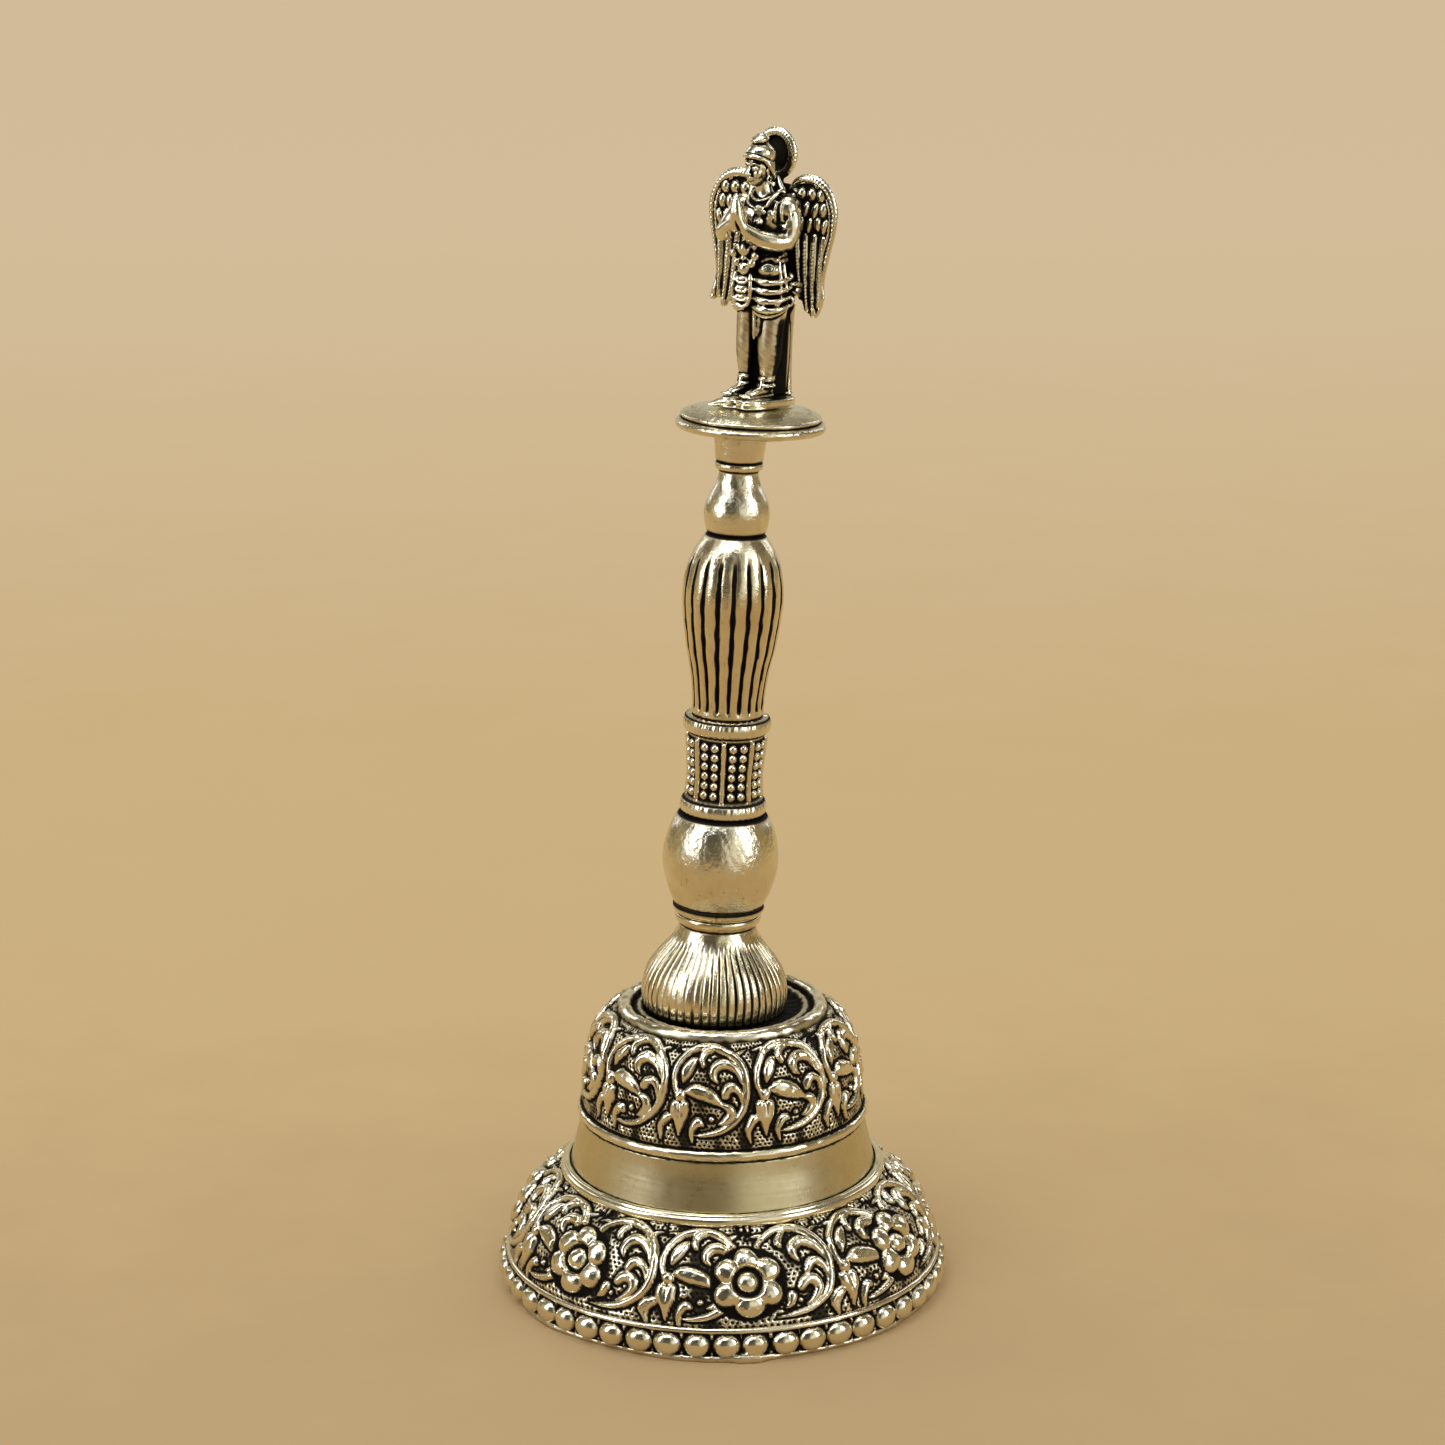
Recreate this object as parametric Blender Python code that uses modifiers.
"""Brass puja bell: an ornamented cup, a stacked baluster handle held by one tie
rod, a winged figure standing on the top disc, and a free-swinging clapper.

Units are metres and +Z is up. The origin is the centre of the rim's resting
face. The figure faces -Y. The handle stack leans a little towards LEAN_DIR.
"""
import bpy
import bmesh
import math
from mathutils import Matrix, Vector

MM = 0.001

# ---- driving dimensions (millimetres) --------------------------------------
TOTAL_HEIGHT = 190.0
PEARL_R = 37.6            # outermost radius of the beaded rim
RIM_R = 36.9
LIP_R = 36.6              # resting lip, outer radius
LIP_INNER_R = 33.6        # resting lip, inner radius
CROWN_TOP_Z = 46.7
CROWN_UNDER_Z = 44.0
GAP = 0.3                 # clearance between neighbouring solids

LEAN_DEG = 2.6            # lean of the handle stack
LEAN_AZ_DEG = 30.0        # direction of the lean, measured from +X
LEAN_PIVOT_Z = 47.0
LEAN_PIVOT_OFFSET = -1.45  # stack axis offset at the crown, along the lean

ROD_R = 1.5
ROD_BORE_R = 1.8
ROD_BOTTOM_Z = 37.9
ROD_TOP_Z = 134.0
STUD_R = 1.1
STUD_BORE_R = 1.4

FLUTES = 20               # convex ribs on the grip
DISC_OFFSET = 1.5         # the top disc sits off the stack axis
FIGURE_OFFSET = 2.8       # and so does the figure
FIGURE_BASE_Z = 148.6

EYE_WIRE_R = 0.75
EYE_R = 2.4
EYE_Z = 34.0
LINK_WIRE_R = 0.7
LINK_R = 3.0
STEM_EYE_R = 2.2
STEM_R = 0.9
BOB_R = 5.6
BOB_Z = 9.4

LEAN_DIR = Vector((math.cos(math.radians(LEAN_AZ_DEG)), math.sin(math.radians(LEAN_AZ_DEG)), 0.0))
ACROSS_DIR = Vector((-LEAN_DIR.y, LEAN_DIR.x, 0.0))

# ---- clean start -------------------------------------------------------------
for ob in list(bpy.data.objects):
    bpy.data.objects.remove(ob, do_unlink=True)

bell_col = bpy.data.collections.new("puja_bell")
cutter_col = bpy.data.collections.new("puja_bell_cutters")
bpy.context.scene.collection.children.link(bell_col)
bpy.context.scene.collection.children.link(cutter_col)


# ---- materials -----------------------------------------------------------------
def brass(name, colour, roughness):
    mat = bpy.data.materials.new(name)
    mat.use_nodes = True
    bsdf = mat.node_tree.nodes["Principled BSDF"]
    bsdf.inputs["Base Color"].default_value = (*colour, 1.0)
    bsdf.inputs["Metallic"].default_value = 1.0
    bsdf.inputs["Roughness"].default_value = roughness
    return mat


ANTIQUE = (0.60, 0.53, 0.30)
WARM = (0.66, 0.54, 0.27)
IRON = (0.32, 0.31, 0.30)


# ---- helpers -------------------------------------------------------------------
def link(ob, parent=None, col=None):
    (col or bell_col).objects.link(ob)
    if parent is not None:
        ob.parent = parent
    return ob


def empty(name, matrix, parent=None):
    ob = bpy.data.objects.new(name, None)
    ob.empty_display_size = 0.01
    bell_col.objects.link(ob)
    ob.parent = parent
    ob.matrix_local = matrix
    return ob


def place(ob, x=0.0, y=0.0, z=0.0, rot=(0.0, 0.0, 0.0)):
    ob.location = (x * MM, y * MM, z * MM)
    ob.rotation_euler = tuple(math.radians(a) for a in rot)
    return ob


def baked(ob):
    """The object's evaluated mesh on a plain object, with its modifiers applied."""
    bpy.context.view_layer.update()
    deps = bpy.context.evaluated_depsgraph_get()
    mesh = bpy.data.meshes.new_from_object(ob.evaluated_get(deps))
    bm = bmesh.new()
    bm.from_mesh(mesh)
    bmesh.ops.remove_doubles(bm, verts=bm.verts, dist=2e-6)
    bm.to_mesh(mesh)
    bm.free()
    new = bpy.data.objects.new(ob.name + "_m", mesh)
    new.matrix_world = ob.matrix_world.copy()
    for col in ob.users_collection:
        col.objects.link(new)
    name = ob.name
    bpy.data.objects.remove(ob, do_unlink=True)
    new.name = name
    return new


def turned(name, profile, steps, mat, parent=None, closed=True, ripple=None, col=None):
    """A turned solid. profile is (radius, z) in mm and runs down the outer side."""
    mesh = bpy.data.meshes.new(name)
    bm = bmesh.new()
    verts = [bm.verts.new((r * MM, 0.0, z * MM)) for r, z in profile]
    for a, b in zip(verts, verts[1:]):
        bm.edges.new((a, b))
    if closed:
        bm.edges.new((verts[-1], verts[0]))
    bm.to_mesh(mesh)
    bm.free()
    ob = bpy.data.objects.new(name, mesh)
    link(ob, None, col)
    screw = ob.modifiers.new("Screw", "SCREW")
    screw.steps = steps
    screw.render_steps = steps
    screw.use_merge_vertices = True
    screw.merge_threshold = 0.00001
    if ripple is not None:
        ob = baked(ob)
        for v in ob.data.vertices:
            r = math.hypot(v.co.x, v.co.y)
            if r < 1e-6:
                continue
            k = ripple(math.atan2(v.co.y, v.co.x), r / MM, v.co.z / MM) * MM / r
            v.co.x *= 1.0 + k
            v.co.y *= 1.0 + k
    if parent is not None:
        ob.parent = parent
    if mat is not None:
        ob.data.materials.clear()
        ob.data.materials.append(mat)
    ob.data.shade_smooth()
    return ob


def cutter(ob):
    ob.hide_render = True
    ob.display_type = "WIRE"
    for col in list(ob.users_collection):
        col.objects.unlink(ob)
    cutter_col.objects.link(ob)
    return ob


def cylinder(name, radius, z0, z1, sides=24, parent=None, x=0.0, y=0.0, mat=None, r_top=None):
    mesh = bpy.data.meshes.new(name)
    bm = bmesh.new()
    bmesh.ops.create_cone(bm, cap_ends=True, segments=sides, radius1=radius * MM,
                          radius2=(radius if r_top is None else r_top) * MM, depth=(z1 - z0) * MM)
    bmesh.ops.translate(bm, verts=bm.verts, vec=(x * MM, y * MM, 0.5 * (z0 + z1) * MM))
    bm.to_mesh(mesh)
    bm.free()
    ob = bpy.data.objects.new(name, mesh)
    link(ob, parent)
    if mat is not None:
        mesh.materials.append(mat)
    return ob


def torus(name, major, minor, matrix, parent=None, mat=None, seg=20, ring=8):
    bpy.ops.mesh.primitive_torus_add(major_radius=major * MM, minor_radius=minor * MM,
                                     major_segments=seg, minor_segments=ring)
    ob = bpy.context.active_object
    for col in list(ob.users_collection):
        col.objects.unlink(ob)
    ob.name = name
    ob.data.transform(matrix)
    link(ob, parent)
    if mat is not None:
        ob.data.materials.append(mat)
    ob.data.shade_smooth()
    return ob


def boolean(ob, other, operation):
    mod = ob.modifiers.new(operation.title(), "BOOLEAN")
    mod.operation = operation
    mod.solver = "EXACT"
    mod.object = other
    return mod


def mat_trs(x=0.0, y=0.0, z=0.0):
    return Matrix.Translation((x * MM, y * MM, z * MM))


# ---- the frames that the pieces stand in -----------------------------------------
pivot = LEAN_DIR * (LEAN_PIVOT_OFFSET * MM) + Vector((0, 0, LEAN_PIVOT_Z * MM))
tilt = Matrix.Rotation(math.radians(LEAN_DEG), 4, ACROSS_DIR)
turn = Matrix.Rotation(math.radians(LEAN_AZ_DEG), 4, "Z")
handle_axis = empty("handle_axis", Matrix.Translation(pivot) @ tilt @ turn @ mat_trs(z=-LEAN_PIVOT_Z))
# local +X of handle_axis is the lean direction; its z numbers read as heights

figure_m = mat_trs(x=FIGURE_OFFSET, z=FIGURE_BASE_Z) @ Matrix.Rotation(math.radians(-LEAN_AZ_DEG), 4, "Z")
figure_axis = empty("figure_axis", figure_m, handle_axis)

bpy.context.view_layer.update()
eye_bottom = handle_axis.matrix_world @ Vector((0, 0, (EYE_Z - EYE_R) * MM))
link_pivot_m = Matrix.Translation(eye_bottom) @ turn
link_axis = empty("clapper_link_axis", link_pivot_m)
WIRE_RISE = EYE_WIRE_R + LINK_WIRE_R + 0.35
link_top = WIRE_RISE                              # link wire above the eye's wire
link_centre = link_top - LINK_R
link_bottom = link_centre - LINK_R                # below link_axis
stem_axis = empty("clapper_axis", mat_trs(z=link_bottom), link_axis)

# ---- bell cup -----------------------------------------------------------------------
brass_cup = brass("cup_brass", ANTIQUE, 0.32)
cup_profile = [
    (0.0, CROWN_TOP_Z), (12.6, CROWN_TOP_Z), (13.6, 47.3), (14.6, 46.8), (15.3, 47.3), (16.1, 47.9),
    (17.0, 47.1), (18.4, 46.3), (20.2, 44.5), (21.6, 42.3), (22.5, 39.6), (22.9, 36.5),
    (23.4, 30.6), (24.0, 29.8), (24.0, 28.9), (23.3, 28.5), (24.5, 24.5),
    (25.3, 20.1), (26.3, 19.6), (26.3, 18.6), (28.9, 17.1), (31.7, 14.9),
    (34.1, 11.8), (35.5, 8.6), (36.4, 5.2), (36.6, 4.5),
    (PEARL_R, 3.4), (PEARL_R, 1.8), (RIM_R, 0.7), (LIP_R, 0.0),
    (LIP_INNER_R, 0.0), (33.0, 4.0), (31.4, 9.0), (28.4, 13.2), (24.9, 17.2),
    (22.6, 22.0), (21.0, 29.0), (20.6, 35.0), (19.7, 39.2), (17.2, 42.4),
    (13.0, CROWN_UNDER_Z), (0.0, CROWN_UNDER_Z),
]
bell_cup = turned("bell_cup", cup_profile, 60, brass_cup, closed=False)
crown_hole = cutter(cylinder("crown_hole_cutter", ROD_BORE_R + 0.1, 40.0, 50.0, 24, handle_axis))
boolean(bell_cup, crown_hole, "DIFFERENCE")

# ---- handle stack -----------------------------------------------------------------------
handle_foot = turned("handle_foot", [
    (ROD_BORE_R, 64.4), (7.3, 64.4), (7.5, 64.0), (7.2, 63.4), (6.8, 63.0), (7.0, 62.6), (6.9, 61.9),
    (6.2, 61.2), (6.4, 60.2), (6.9, 59.2), (7.7, 58.0), (8.9, 56.6), (10.0, 55.2), (10.9, 53.8),
    (11.6, 52.5), (12.0, 50.6), (12.0, 48.4), (11.6, 46.0), (ROD_BORE_R, 46.0)],
    32, brass("foot_brass", WARM, 0.34), handle_axis)
seat = cutter(cylinder("foot_seat_cutter", 16.0, 40.0, CROWN_TOP_Z + GAP, 32))
boolean(handle_foot, seat, "DIFFERENCE")

ball_knop = turned("ball_knop", [
    (ROD_BORE_R, 79.9), (7.0, 79.9), (7.6, 79.2), (8.3, 77.9), (8.95, 75.8), (9.4, 73.8), (9.46, 72.4),
    (9.35, 70.8), (8.95, 69.0), (8.35, 67.0), (7.5, 65.1), (7.2, 64.8), (ROD_BORE_R, 64.8)],
    28, brass("ball_brass", ANTIQUE, 0.30), handle_axis)

beaded_collar = turned("beaded_collar", [
    (ROD_BORE_R, 96.3), (6.6, 96.3), (7.0, 95.2), (6.8, 94.0), (6.5, 92.6), (6.2, 89.3), (6.05, 86.0),
    (6.2, 84.0), (6.6, 82.7), (7.0, 81.6), (6.8, 80.4), (ROD_BORE_R, 80.2)],
    24, brass("collar_brass", ANTIQUE, 0.34), handle_axis)


def flute(angle, r, z):
    if r < 4.0 or z > 125.5 or z < 97.5:
        return 0.0
    return -0.45 * (0.5 - 0.5 * math.cos(FLUTES * angle))


fluted_grip = turned("fluted_grip", [
    (ROD_BORE_R, 126.1), (4.7, 126.1), (5.5, 125.0), (6.4, 123.6), (7.1, 122.0), (7.6, 120.6), (8.0, 118.4),
    (8.15, 116.0), (8.0, 113.4), (7.55, 110.0), (7.05, 107.2), (6.5, 104.6), (6.15, 102.4), (5.9, 99.8),
    (5.75, 98.0), (5.75, 96.6), (ROD_BORE_R, 96.6)],
    2 * FLUTES, brass("grip_brass", WARM, 0.33), handle_axis, ripple=flute)

vase_knop = turned("vase_knop", [
    (0.0, 136.5), (STUD_BORE_R, 136.5), (STUD_BORE_R, 142.7), (4.1, 142.7), (4.1, 141.0), (3.9, 138.2),
    (3.4, 137.8), (3.8, 137.3), (3.7, 136.7), (3.2, 136.2), (3.6, 134.1), (4.35, 132.8), (4.95, 131.4),
    (5.24, 129.8), (5.1, 128.2), (4.6, 126.5), (ROD_BORE_R, 126.5), (ROD_BORE_R, 134.6), (0.0, 134.6)],
    20, brass("vase_brass", ANTIQUE, 0.34), handle_axis, closed=False)

top_disc = turned("top_disc", [
    (0.0, 146.8), (6.0, 146.6), (9.5, 146.2), (11.1, 145.6), (11.2, 145.1), (10.9, 144.8), (11.6, 144.5),
    (11.94, 143.9), (11.6, 143.3), (10.6, 143.0), (0.0, 143.0)],
    36, brass("disc_brass", ANTIQUE, 0.33), handle_axis, closed=False)
place(top_disc, x=DISC_OFFSET)
stud_hole = cutter(cylinder("stud_hole_cutter", STUD_BORE_R, 142.0, 150.0, 20, handle_axis))
boolean(top_disc, stud_hole, "DIFFERENCE")

steel = brass("rod_steel", IRON, 0.45)
tie_rod = cylinder("tie_rod", ROD_R, ROD_BOTTOM_Z, ROD_TOP_Z, 20, handle_axis, mat=steel)
figure_stud = cylinder("figure_stud", STUD_R, 137.0, 148.1, 16, handle_axis, mat=steel)

# ---- inside the crown: washer, nut and the eye that carries the clapper ---------------------
crown_washer = turned("crown_washer", [
    (ROD_BORE_R, 43.4), (4.8, 43.4), (5.0, 43.2), (5.0, 42.6), (4.8, 42.4), (ROD_BORE_R, 42.4)],
    24, brass("washer_brass", WARM, 0.4), handle_axis)
nut_bore = cutter(cylinder("nut_bore_cutter", ROD_BORE_R, 35.0, 44.0, 20, handle_axis))
crown_nut = cylinder("crown_nut", 4.4, 39.9, 42.1, 6, handle_axis, mat=brass("nut_brass", WARM, 0.4))
boolean(crown_nut, nut_bore, "DIFFERENCE")

clapper_eye = turned("clapper_eye", [
    (0.0, 37.6), (ROD_BORE_R, 37.6), (ROD_BORE_R, 39.6), (2.7, 39.6), (2.9, 39.3), (2.9, 36.8), (2.2, 35.9),
    (0.0, 35.9)], 24, brass("eye_brass", WARM, 0.4), handle_axis, closed=False)
stand_up = Matrix.Rotation(math.radians(90), 4, "X")
eye_ring = torus("eye_ring", EYE_R, EYE_WIRE_R, mat_trs(z=EYE_Z) @ stand_up, handle_axis)
cutter(eye_ring)
boolean(clapper_eye, eye_ring, "UNION")

# ---- clapper ------------------------------------------------------------------------------------
side_on = Matrix.Rotation(math.radians(90), 4, "Y")
clapper_link = torus("clapper_link", LINK_R, LINK_WIRE_R, mat_trs(z=link_centre) @ side_on, link_axis,
                     brass("link_brass", WARM, 0.4))

stem_eye_z = WIRE_RISE - STEM_EYE_R                # all below are relative to stem_axis
bpy.context.view_layer.update()
stem_top_world = (stem_axis.matrix_world.translation.z) / MM
clapper_stem = cylinder("clapper_stem", STEM_R, 2.0 - stem_top_world, stem_eye_z - STEM_EYE_R + 0.1, 16,
                        stem_axis, mat=brass("stem_brass", WARM, 0.4))
stem_ring = cutter(torus("stem_ring", STEM_EYE_R, LINK_WIRE_R, mat_trs(z=stem_eye_z) @ stand_up, stem_axis))
boolean(clapper_stem, stem_ring, "UNION")

bore = STEM_R + GAP
b0 = -stem_top_world                                # heights above the table, as local z
clapper_bob = turned("clapper_bob", [
    (bore, b0 + 15.4), (1.8, b0 + 15.4), (2.6, b0 + 14.4), (4.2, b0 + 13.0), (5.2, b0 + 11.4),
    (BOB_R, b0 + BOB_Z), (5.3, b0 + 7.4), (4.4, b0 + 5.8), (3.0, b0 + 4.8), (bore, b0 + 4.5)],
    20, brass("bob_brass", WARM, 0.4), stem_axis)
bob_nut = cylinder("bob_nut", 2.5, b0 + 2.5, b0 + 4.1, 6, stem_axis, mat=brass("bobnut_brass", WARM, 0.4))
bob_bore = cutter(cylinder("bob_nut_bore", bore, b0 + 1.0, b0 + 5.0, 16, stem_axis))
boolean(bob_nut, bob_bore, "DIFFERENCE")

# ---- figure ------------------------------------------------------------------------------------------
fig_mat = brass("figure_brass", ANTIQUE, 0.34)


def ball(bm, centre, radii, rot=(0, 0, 0)):
    m = Matrix.Translation(Vector(centre) * MM)
    for axis, a in zip("XYZ", rot):
        m = m @ Matrix.Rotation(math.radians(a), 4, axis)
    m = m @ Matrix.Diagonal((radii[0] * MM, radii[1] * MM, radii[2] * MM, 1.0))
    bmesh.ops.create_uvsphere(bm, u_segments=16, v_segments=10, radius=1.0, matrix=m)


def limb(bm, a, b, ra, rb):
    """A tapered limb with round ends between two points."""
    a, b = Vector(a), Vector(b)
    d = b - a
    m = Matrix.Translation((a + b) * 0.5 * MM) @ d.to_track_quat("Z", "Y").to_matrix().to_4x4()
    bmesh.ops.create_cone(bm, cap_ends=True, segments=14, radius1=ra * MM, radius2=rb * MM,
                          depth=d.length * MM, matrix=m)
    ball(bm, a, (ra, ra, ra))
    ball(bm, b, (rb, rb, rb))


def fused(name, fill, voxel, keep, mat, parent):
    """Overlapping simple forms, fused into one skin and thinned."""
    mesh = bpy.data.meshes.new(name)
    bm = bmesh.new()
    fill(bm)
    bm.to_mesh(mesh)
    bm.free()
    ob = bpy.data.objects.new(name, mesh)
    link(ob, parent)
    remesh = ob.modifiers.new("Remesh", "REMESH")
    remesh.mode = "VOXEL"
    remesh.voxel_size = voxel * MM
    thin = ob.modifiers.new("Decimate", "DECIMATE")
    thin.ratio = keep
    mesh.materials.append(mat)
    return ob


def body_forms(bm):
    # legs and feet, z from the plinth up
    limb(bm, (-3.4, -4.6, 0.6), (-2.5, -0.4, 0.9), 0.55, 0.9)     # right foot
    limb(bm, (0.2, -5.0, 0.6), (1.3, -0.4, 0.9), 0.55, 0.95)      # left foot
    limb(bm, (-2.6, -0.7, 1.0), (-2.65, -0.8, 9.5), 1.05, 1.6)
    limb(bm, (1.4, -0.8, 1.0), (1.5, -0.9, 9.5), 1.1, 1.7)
    limb(bm, (-2.6, -0.8, 9.5), (-2.2, -0.5, 20.0), 1.6, 2.3)
    limb(bm, (1.5, -0.9, 9.5), (1.7, -0.6, 20.0), 1.7, 2.4)
    ball(bm, (-0.3, -0.7, 17.3), (4.6, 3.3, 4.3))                    # hips and wrapped cloth
    limb(bm, (-0.2, -0.4, 20.0), (-0.2, -0.2, 24.0), 3.0, 2.8)
    ball(bm, (-1.4, -3.4, 22.2), (2.1, 1.7, 2.3))                    # hanging ornament
    ball(bm, (-0.1, -0.6, 27.6), (4.5, 2.8, 4.2))                    # chest
    ball(bm, (-3.9, -0.9, 29.5), (1.9, 1.8, 1.8))
    ball(bm, (3.7, -0.8, 29.5), (2.0, 1.9, 2.0))
    # arms, hands folded in front of the chest
    limb(bm, (-4.1, -1.0, 29.2), (-5.5, -3.8, 25.4), 1.6, 1.3)
    limb(bm, (4.0, -0.8, 29.2), (4.5, -1.7, 24.7), 1.8, 1.35)
    limb(bm, (-5.5, -4.0, 25.3), (-2.5, -6.4, 27.2), 1.25, 0.95)
    limb(bm, (4.4, -1.8, 24.6), (-0.6, -6.0, 26.2), 1.35, 1.05)
    limb(bm, (-1.6, -6.4, 26.4), (-2.05, -6.9, 31.0), 1.15, 0.6)
    # neck, head, rolled brim, small cap
    limb(bm, (-0.4, -0.4, 30.2), (-0.9, -0.8, 33.0), 1.9, 1.4)
    ball(bm, (-0.95, -1.0, 34.5), (2.1, 2.3, 2.4))
    ball(bm, (-0.95, -1.0, 37.2), (2.5, 2.5, 1.2))
    ball(bm, (-0.95, -0.8, 38.6), (1.8, 1.8, 1.6))
    # hip sash at the left side
    ball(bm, (4.1, -1.6, 18.6), (1.2, 1.2, 3.2))
    # pad on the back that carries the wings
    ball(bm, (-0.9, 1.2, 26.6), (3.4, 1.3, 4.6))


winged_figure = fused("winged_figure", body_forms, 0.55, 0.26, fig_mat, figure_axis)


def outline_plate(name, points, half_thickness, bevel, matrix, mat, parent):
    curve = bpy.data.curves.new(name, "CURVE")
    curve.dimensions = "2D"
    curve.fill_mode = "BOTH"
    curve.extrude = half_thickness * MM
    curve.bevel_depth = bevel * MM
    curve.bevel_resolution = 0
    curve.resolution_u = 3
    sp = curve.splines.new("BEZIER")
    sp.bezier_points.add(len(points) - 1)
    for bp, (x, z) in zip(sp.bezier_points, points):
        bp.co = (x * MM, z * MM, 0.0)
        bp.handle_left_type = bp.handle_right_type = "AUTO"
    sp.use_cyclic_u = True
    ob = bpy.data.objects.new(name, curve)
    link(ob)
    ob = baked(ob)
    ob.data.transform(matrix)
    ob.parent = parent
    ob.data.materials.append(mat)
    return ob


WING = [(2.0, 31.6), (3.9, 33.8), (7.2, 33.6), (9.7, 30.2), (9.7, 24.6), (8.5, 19.0), (8.5, 14.8), (7.2, 12.6),
        (5.2, 14.4), (4.0, 19.0), (2.5, 25.2)]
WING_MID_X = -1.0            # the pair is centred a little to the figure's right
upright = Matrix.Rotation(math.radians(90), 4, "X")
wing_mat = brass("wing_brass", ANTIQUE, 0.34)
left_m = mat_trs(y=3.35) @ upright
left_wing = outline_plate("left_wing", WING, 0.3, 0.2, left_m, wing_mat, figure_axis)
right_wing = outline_plate("right_wing", [(2 * WING_MID_X - x, z) for x, z in reversed(WING)], 0.3, 0.2, left_m,
                           wing_mat, figure_axis)

halo_ring = torus("halo_ring", 3.7, 0.6, mat_trs(x=-0.95, y=3.0, z=37.35) @ upright @ Matrix.Diagonal((0.87, 1.0, 1.0, 1.0)),
                  figure_axis, wing_mat, 28, 8)

PLINTH = [(-4.8, -5.2), (-1.6, -5.5), (1.8, -4.9), (3.6, -0.8), (4.1, 3.6), (2.4, 4.9), (-2.0, 3.0), (-4.2, 0.8)]
figure_plinth = outline_plate("figure_plinth", PLINTH, 0.4, 0.15, mat_trs(z=-0.95), fig_mat, figure_axis)
boolean(figure_plinth, stud_hole, "DIFFERENCE")

figure_post = cylinder("figure_post", 0.7, 0.0, 13.0, 12, figure_axis, x=2.5, y=4.1, mat=fig_mat, r_top=0.6)
